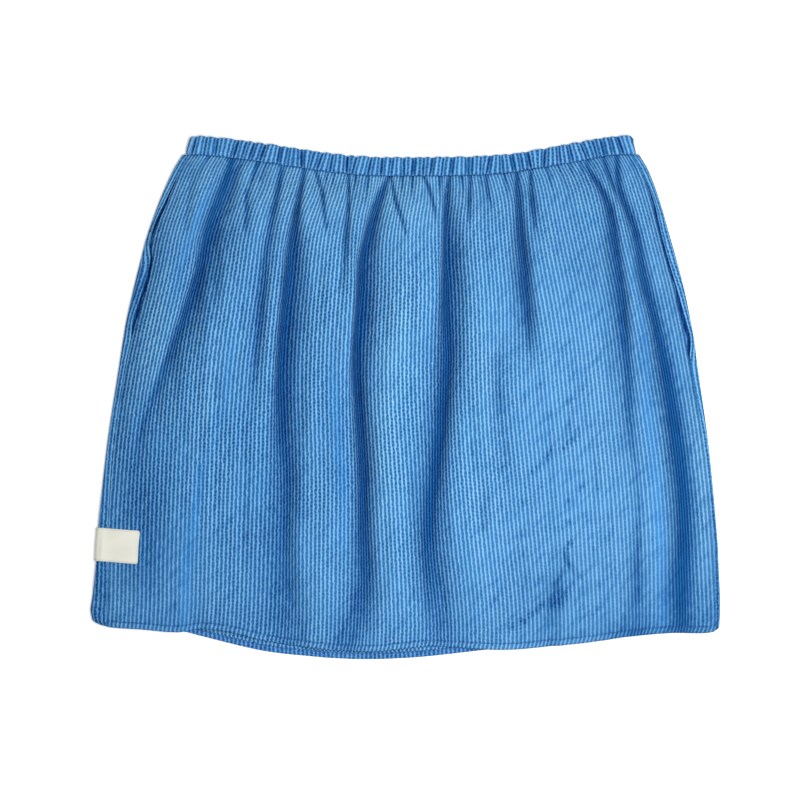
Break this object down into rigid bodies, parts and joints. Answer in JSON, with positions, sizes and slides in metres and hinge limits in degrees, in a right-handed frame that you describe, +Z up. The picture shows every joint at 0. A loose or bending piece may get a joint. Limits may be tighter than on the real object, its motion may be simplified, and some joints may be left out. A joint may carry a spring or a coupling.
{
  "type": "mini skirt",
  "caption": "Pull-on mini skirt in fine striped seersucker, laid flat: gathered elastic waist, in-seam side pockets, narrow hem and a small bare side label.",
  "frame": {"origin": "middle of the skirt's footprint, on the surface that it lies on", "axes": "+Z up from the surface out of the front, +Y towards the waistband, +X to the right seen from above, along the waist and hem"},
  "size_m": [0.4838, 0.4032, 0.0186],
  "materials": {
    "cloth": "light and mid blue striped seersucker, matte with a faint sheen",
    "casing": "the same striped seersucker, gathered over elastic",
    "cloth_inside": "inside face of the striped seersucker",
    "label": "cream cotton tape, fine plain weave",
    "thread": "blue sewing thread"
  },
  "bodies": {
    "root": {"front_panel": "cloth", "back_panel": "cloth", "waistband": "casing", "front_hem": "cloth_inside", "back_hem": "cloth_inside", "pocket_front_left": "cloth_inside", "pocket_back_left": "cloth_inside", "pocket_front_right": "cloth_inside", "pocket_back_right": "cloth_inside", "label": "label"}
  },
  "joints": []
}
